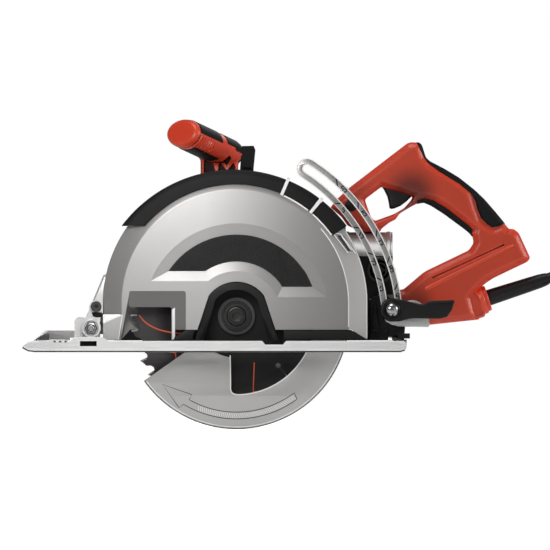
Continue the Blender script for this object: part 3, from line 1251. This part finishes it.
# %% Rear bracket
pressing = [(127.9, 11.1), (127.9, 49), (131, 53.5), (140, 54.5), (150, 51), (156, 44), (166, 38), (178, 33),
            (178, 25.5), (161.8, 25.0), (160.8, 11.1)]
bolt_head = [(0, 0), (3.2, 0), (3.2, 2.6), (2.4, 3.2), (0, 3.2)]
fittings = [plate("e", rounded(pressing, 0.8), 9.5, 12.9, 0.7),
            plate("e", rounded([(150.2, 4.4), (150.2, 16), (160.6, 16), (160.6, 12.0)], 0.6), 9.5, 12.9, 0.5),
            plate("e", rounded([(129.5, 20), (131.5, 44), (134.5, 44), (137.2, 20)], 1.0), 6.6, 10, 0.7),
            lathe("e", bolt_head, (143.2, 9.8, 20.5), (0, -1, 0), 6, 20),
            lathe("e", bolt_head, (143.2, 9.8, 33.0), (0, -1, 0), 6, 20),
            lathe("e", [(0, 0), (4, 0), (4, -14), (0, -14)], (168, 3, 32), (0, -1, 0), 40),
            lathe("e", [(0, 0), (5.4, 0), (5.4, 4), (3.0, 4), (3.0, 0)], (149.9, -20, 9), (1, 0, 0), 40),
            plate("e", [(149.9, 9), (149.9, 14.4), (153.9, 14.4), (153.9, 9)], -20, 12, 0.5)]
end_plate = rounded([(117.5, 11.0), (128.4, 11.0), (128.4, 49), (125, 56), (117.5, 62)], 0.8)
done(plate("guard_end_plate", end_plate, 17.2, 19.4, 0.5), "black_metal", "saw_body", "black_metal")
done(join("rear_bracket_pressing", fittings), "black_metal", "shoe_brackets", "black_metal", "rear_bracket")

# %% [markdown]
# The depth lever is a wavy paddle that a thumb can lift, under a domed chrome nut. Sculpting would give
# such a paddle as well. An outline gives the wave and a wide bevel the roundness, and both stay easy to
# change. The dome's dark foot is a tint on its outer ring of faces.

# %% Depth lever
LEVER_C = (149.0, 40.5)
PADDLE = [(-11, 0), (-9.5, 6.5), (-4, 10.2), (3.7, 10.7), (13.5, 8.9), (23.6, 5.8), (30.7, 5.3), (34, 7.6),
          (38, 8.7), (58.6, 9.3), (60.2, 8.4), (57.5, -0.2), (52.7, -7), (46, -8.7), (21.1, -8.2), (15.2, -9),
          (8.3, -11.0), (1, -11.4), (-7, -9.3)]
PADDLE_RIDGE = [(36.5, 5.6), (38.5, 7.0), (56.5, 7.4), (57.5, 6.2)]


def from_lever(points):
    return [(LEVER_C[0] + x, LEVER_C[1] + z) for x, z in points]


hub_profile = [(0, -10.2), (8, -10.2), (8, -5.5), (11.2, -5.2), (11.4, 0.2), (10.6, 1.6), (9.0, 2.0),
               (8.6, 1.2), (0, 1.2)]
lever = join("depth_lever_paddle", [
    plate("p", rounded(from_lever(PADDLE), 2.6, 4), -6.6, 0.8, 1.7, 4, 50),
    lathe("h", hub_profile, (LEVER_C[0], -5.8, LEVER_C[1]), (0, -1, 0), 64),
    plate("r", rounded(from_lever(PADDLE_RIDGE), 0.6), -7.2, -6.2, 0.4)])
done(lever, "black_plastic", "depth_lever", "black_plastic", "depth_lever")
dome_profile = [(0, -0.8), (7.9, -0.8), (7.9, 0.6), (7.2, 1.1), (6.8, 1.8), (6.5, 3.0), (5.9, 4.4), (4.8, 5.6),
                (3.3, 6.5), (1.7, 6.9), (0, 7.0)]
dome = lathe("dome_nut", dome_profile, (LEVER_C[0], -7.4, LEVER_C[1]), (0, -1, 0), 64)
done(dome, "chrome", "depth_lever", "chrome", "lever_cap")
tint(dome, "black_metal", lambda c, n: math.hypot(c.x - LEVER_C[0], c.z - LEVER_C[1]) > 6.9)

# %% [markdown]
# The trigger is a smooth hook whose front follows the finger. A cube with subdivision could be pulled
# into it, but an outline holds the finger's curve better. It keeps the CAD trigger's width, less a little
# play on each side, so that it still fits the handle's opening.

# %% Trigger
TRIGGER = [(138.6, 160.5), (142.0, 155.6), (145.2, 149.0), (146.6, 142.6), (147.2, 137.2), (152, 137.8),
           (158, 140.4), (163.5, 144.6), (168.4, 149.4), (168.4, 152.6), (158, 160), (147, 165.6),
           (139.6, 163.6)]
near, far = (point[1] * 1000 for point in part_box("trigger"))
hook = plate("trigger_hook", rounded(TRIGGER, 2.5, 4), near + 0.2, far - 0.2, 3.2, 4, 50)
done(hook, "black_plastic", "trigger", "black_plastic", "trigger")

# %% [markdown]
# Behind the guard lies the motor. A cap with turned rings closes the brush holder on the viewer's side,
# and raised bands ring the housing. The bands could be extruded from the housing's faces. These are round
# parts again, so each is a profile on the lathe.

# %% Motor details
cap_profile = [(0, 0.1), (2.2, 0.1), (2.6, 0.6), (3.4, 0.6), (3.8, 0.0), (5.6, 0.0), (6.0, 0.7), (7.2, 0.7),
               (7.6, 0.0), (9.4, 0.0), (9.8, 0.8), (11.8, 0.8), (12.4, 0.2), (12.4, -1.5), (0, -1.5)]
cap = lathe("brush_cap_rings", cap_profile, (137.5, 17.0, 78.5), (0, -1, 0), 72)
done(cap, "cap_black", "saw_body", "black_plastic")


def motor_band(r, h, x0, x1):
    """A band of height h on the housing's radius r, between two places along the motor."""
    section = [(r, x0), (r + h, x0 + 0.8), (r + h, x1 - 0.8), (r, x1), (r - 3, x1), (r - 3, x0), (r, x0)]
    return lathe("b", section, (0, 62, 78.5), (1, 0, 0), 96)


bands = join("motor_bands", [motor_band(*b) for b in (
    (41.8, 1.4, 33.0, 38.5), (41.8, 1.2, 99.0, 104.6), (36.3, 1.0, 105.2, 108.6), (36.3, 0.9, 144.0, 148.4))])
done(bands, "motor_silver", "saw_body", "housing_metal")

# %% [markdown]
# The shoe hinges on a bolt at the front. Its eye, nut and stud and the socket screw above are small round
# parts, so they are turned, and a nut is a lathe with six sides. The rubber bumper is a plate. All are
# kept short, so that the shoe passes them in every pose.

# %% Front pivot details
PIVOT = (-139, 23)
SCREW = (-134.2, 43.6)
nut_at = (PIVOT[0], -23.9, PIVOT[1])
eye = lathe("eye_ring", [(9.2, 0), (9.2, 1.6), (8.4, 2.1), (7.2, 2.1), (6.6, 1.4), (6.6, 0), (9.2, 0)],
            (PIVOT[0], -23.6, PIVOT[1]), (0, -1, 0), 64)
done(eye, "pivot_silver", "saw_body", "housing_metal")
nut = lathe("n", [(0, 0), (5.6, 0), (5.6, 2.4), (4.6, 2.9), (3.6, 2.9), (3.3, 2.6), (0, 2.6)],
            nut_at, (0, -1, 0), 6, 10)
stud = lathe("s", [(0, 0), (3.0, 0), (3.0, 3.3), (2.6, 3.6), (1.2, 3.6), (0.9, 3.2), (0, 3.2)],
             nut_at, (0, -1, 0), 32)
done(join("pivot_nut", [nut, stud]), "steel", "saw_body", "steel")
head = lathe("lug_screw_head", [(0, 0), (5.0, 0), (5.2, 0.5), (5.2, 4.2), (4.6, 4.9), (3.2, 5.0), (2.9, 4.6),
                                (0, 4.6)], (SCREW[0], -24.0, SCREW[1]), (0, -1, 0), 48)
boolean(head, cutter(hexagon(SCREW, 2.5, 0), -31, -26.4))
done(head, "bolt_dark", "saw_body", "dark_steel")
bumper = plate("bumper", rounded([(-138.6, 38.2), (-137.4, 34.4), (-134.6, 33.4), (-129.0, 33.4),
                                  (-128.2, 35.2), (-128.4, 38.0)], 1.0), -25.0, -10, 0.7)
done(bumper, "black_rubber", "saw_body", "black_rubber")

# %% [markdown]
# Each side of the rear handle has a raised rib with a groove over it, and a horn of the moulding reaches
# to the cord's collar. They could be sculpted on the softened body. A thin tube cuts each groove and a
# tapering tube makes each rib, because both run along straight lines.

# %% Handle ribs and horn
def straight(a, b, y, r0, r1, n=10):
    """Points and radii of a straight tube from (x, z) to (x, z)."""
    A, B = Vector((a[0], y, a[1])), Vector((b[0], y, b[1]))
    return [A.lerp(B, i / n) for i in range(n + 1)], [r0 + (r1 - r0) * i / n for i in range(n + 1)]


for y in (46.35, 77.65):
    pts, radii = straight((188.3, 70.9), (257.5, 103.0), y, 1.1, 1.1)
    boolean(body, tube("cut", pts, radii, 12))
ribs = []
for y in (46.6, 77.4):
    pts, radii = straight((182.6, 60.6), (266.0, 102.6), y, 2.3, 1.5)
    d = (pts[-1] - pts[0]).normalized()
    pts = [pts[0] - d * 1.9, pts[0] - d * 1.5] + pts + [pts[-1] + d * 1.3]
    ribs.append(tube("r", pts, [0.5, 1.6] + radii + [0.4], 16, flat=0.8))
HORN = [(214, 33.0), (214, 56), (222.6, 61.0), (229.0, 61.0), (236.8, 49.8), (240.4, 38.5), (238.6, 33.6),
        (232, 31.6)]
ribs.append(plate("horn", rounded(HORN, 2.0), 48.5, 75.5, 3.4, 1, 15))
done(join("handle_ribs", ribs), "red_plastic", "saw_body", "red_plastic")
paint(body, "red_plastic")

# %% [markdown]
# A round dark inlay sits in the handle's front. The softened body has no exact plane there, so a ray is
# cast at it, and the inlay is placed where the ray lands.

# %% Handle recess
RECESS = (110.5, 141.0)
hit, place, _, _ = body.ray_cast(Vector((RECESS[0], -200, RECESS[1])) * MM, Vector((0, 1, 0)))
print("handle front at", hit, round(place.y * 1000, 1), "mm")
recess = lathe("handle_recess", [(0, 1.0), (4.8, 0.9), (5.7, 0.5), (6.0, -0.1), (6.0, -3.0), (0, -3.0)],
               (RECESS[0], place.y * 1000, RECESS[1]), (0, -1, 0), 48)
done(recess, "black_plastic", "saw_body", "black_plastic")

# %% [markdown]
# The shoe's edges are rolled. Bright lines along its near edge stand for the rolls that catch the light,
# and a dark one for the shadow under it. A bevel could make them, but bars on the edge hold one width.
# They ride on the shoe, because it tilts and drops with its joints.

# %% Shoe edges
EDGE_Y = (-40.2, -39.6)
slot_edge = rounded([(-150.6, 4.8), (-132.6, 4.8), (-132.6, 11.4), (-150.6, 11.4)], 1.6)
top_edge = [(161.6, 8.2), (159.6, 10.2), (47.9, 10.2), (44.9, 6.7), (27.1, 6.7), (24.1, 10.2), (-122.3, 10.2),
            (-128.2, 13.8), (-154.8, 13.8), (-159.3, 10.2), (-182, 10.8), (-197.4, 9.6)]
low_edge = [(-203.2, 5.2), (-198.6, 2.9), (-192.9, 2.2), (157, 2.2), (160.6, 3.4)]
slot_frame = join("slot_frame", [line_plate("s", slot_edge, 1.0, -40.3, -39.4, closed=True),
                                 line_plate("s", top_edge, 1.2, *EDGE_Y),
                                 line_plate("s", low_edge, 1.5, *EDGE_Y)])
done(slot_frame, "bright_paint", "shoe", "shoe_metal")
sole = line_plate("shoe_sole_line", [(-204.4, 4.4), (-198.9, 1.5), (-193.0, 0.7), (157, 0.7), (160.8, 2.0)],
                  1.3, -40.22, -39.6)
done(sole, "dark_steel", "shoe", "shoe_metal")

# %% [markdown]
# On the shoe's plate a dark stop stands behind the guide slot, and two small pressings show past the far
# edge. Little of them can be seen, so they are guessed. Plain plates are used, since a finer form would
# have nothing to follow.

# %% Shoe fittings
stop = plate("guide_stop", rounded([(-153.0, 2.6), (-130.0, 2.6), (-130.0, 12.4), (-153.0, 12.4)], 1.0),
             58.0, 60.0, 0.5)
done(stop, "black_metal", "shoe", "black_metal")
pocket = plate("far_pocket", rounded([(-185.6, 11.6), (-185.2, 17.6), (-182.0, 19.9), (-156.5, 19.9),
                                      (-149.5, 11.6)], 1.2), 136.2, 137.4, 0.4)
done(pocket, "rim_paint", "shoe", "shoe_metal")
wedge = plate("far_wedge", [(-196.4, 10.6), (-186.4, 17.0), (-182.0, 17.0), (-182.0, 10.6)], 135.8, 137.0, 0.3)
done(wedge, "dark_steel", "shoe", "shoe_metal")

# %% [markdown]
# Marks on the shoe's nose and vents in the motor repeat at an even pitch. An Array modifier would do the
# same. Geometry Nodes set a small box on each point of a line, with count and pitch as named inputs, so
# one function serves both. The tree ends in real geometry with its material, and is then applied.

# %% Repeated marks and vents
def wire_tree(ng, links):
    for a, out, b, into in links:
        ng.links.new(a.outputs[out], b.inputs[into])


def node_array(name, count, pitch, size, origin, mat):
    """Small boxes in a row along X, made by geometry nodes and then applied."""
    ng = bpy.data.node_groups.new(name + "_nodes", "GeometryNodeTree")
    ng.interface.new_socket("Geometry", in_out="OUTPUT", socket_type="NodeSocketGeometry")
    for label, kind, value in (("Count", "Int", count), ("Pitch", "Float", pitch * MM)):
        sock = ng.interface.new_socket(label, in_out="INPUT", socket_type="NodeSocket" + kind)
        sock.default_value = value
    given, result, line, cube, inst, real, setm, vec = (ng.nodes.new(kind) for kind in (
        "NodeGroupInput", "NodeGroupOutput", "GeometryNodeMeshLine", "GeometryNodeMeshCube",
        "GeometryNodeInstanceOnPoints", "GeometryNodeRealizeInstances", "GeometryNodeSetMaterial",
        "ShaderNodeCombineXYZ"))
    cube.inputs["Size"].default_value = [c * MM for c in size]
    line.inputs["Start Location"].default_value = [c * MM for c in origin]
    setm.inputs["Material"].default_value = MATS[mat]
    wire_tree(ng, [(given, "Count", line, "Count"), (given, "Pitch", vec, "X"),
                   (vec, "Vector", line, "Offset"), (line, "Mesh", inst, "Points"),
                   (cube, "Mesh", inst, "Instance"),
                   (inst, "Instances", real, "Geometry"), (real, "Geometry", setm, "Geometry"),
                   (setm, "Geometry", result, "Geometry")])
    obj = link(bpy.data.objects.new(name, bpy.data.meshes.new(name)))
    obj.modifiers.new("array", "NODES").node_group = ng
    return shade(apply(obj), 20)


marks = node_array("shoe_marks", 3, 5.2, (2.2, 0.5, 1.5), (-173.6, -40.1, 10.2), "dark_steel")
done(marks, "dark_steel", "shoe", "shoe_metal")
louvres = node_array("motor_louvres", 5, 5.0, (1.2, 0.9, 13.0), (120.0, 98.4, 78.5), "black_plastic")
done(louvres, "black_plastic", "saw_body", "black_plastic")

# %% [markdown]
# Many CAD nodes have the right shape already: castings, gears, bearings, screws. They aren't rebuilt.
# Each gets a material and a live bevel of its own width, since a real edge is never perfectly sharp, and
# weighted normals keep its flat faces flat.

# %% Carried-over nodes
KEPT = {
    "cast_silver": {"gear_housing": 0.8, "gear_cover": 0.6},
    "dark_steel": {"cover_screws": 0.2, "guard_screws": 0.3, "handle_screws": 0.15, "front_handle_screws": 0.3,
                   "pivot_screws": 0.4, "inner_washer": 0.4, "outer_washer": 0.5},
    "brass": {"oil_plug": 0.4, "plug_blades": 0.25, "worm_wheel": 0.2},
    "steel": {"drive_bearings": 0.3, "clamp_bolt": 0.3, "spindle": 0.3, "armature_shaft": 0.3, "worm": 0.15,
              "guard_spring": 0.1, "bevel_pins": 0.4},
    "black_plastic": {"lock_button": 0.6, "brush_panel": 0.6, "brush_caps": 0.5, "switch_body": 0.4,
                      "fan": 0.2},
    "motor_silver": {"motor_housing": 0.7}, "iron": {"motor_stator": 0.4, "armature_core": 0.2},
    "carbon": {"carbon_brushes": 0.3}, "black_rubber": {"coil_tie": 0.25}, "cord_black": {"plug_body": 1.2},
    "pivot_silver": {"pivot_arm": 0.9, "front_bracket": 0.9}, "blade_black": {"blade": 0.12},
    "carbide": {"carbide_tips": 0.12}, "copper": {"commutator": 0.15}, "lift_black": {"lift_lever": 0.9},
    "black_metal": {"bevel_lever": 0.7}, "shoe_silver": {"shoe": 0.7},
}
for mat, widths in KEPT.items():
    for name, width in widths.items():
        obj = NODES[name]
        obj.data.materials.clear()
        obj.data.materials.append(MATS[mat])
        m = obj.modifiers.new("edge", "BEVEL")
        m.width, m.segments, m.limit_method, m.angle_limit = width * MM, 3, "ANGLE", math.radians(32)
        m.harden_normals = False
        obj.data.polygons.foreach_set("use_smooth", [True] * len(obj.data.polygons))
        obj.modifiers.new("shade", "WEIGHTED_NORMAL").keep_sharp = True
print("carried over:", sum(len(widths) for widths in KEPT.values()))
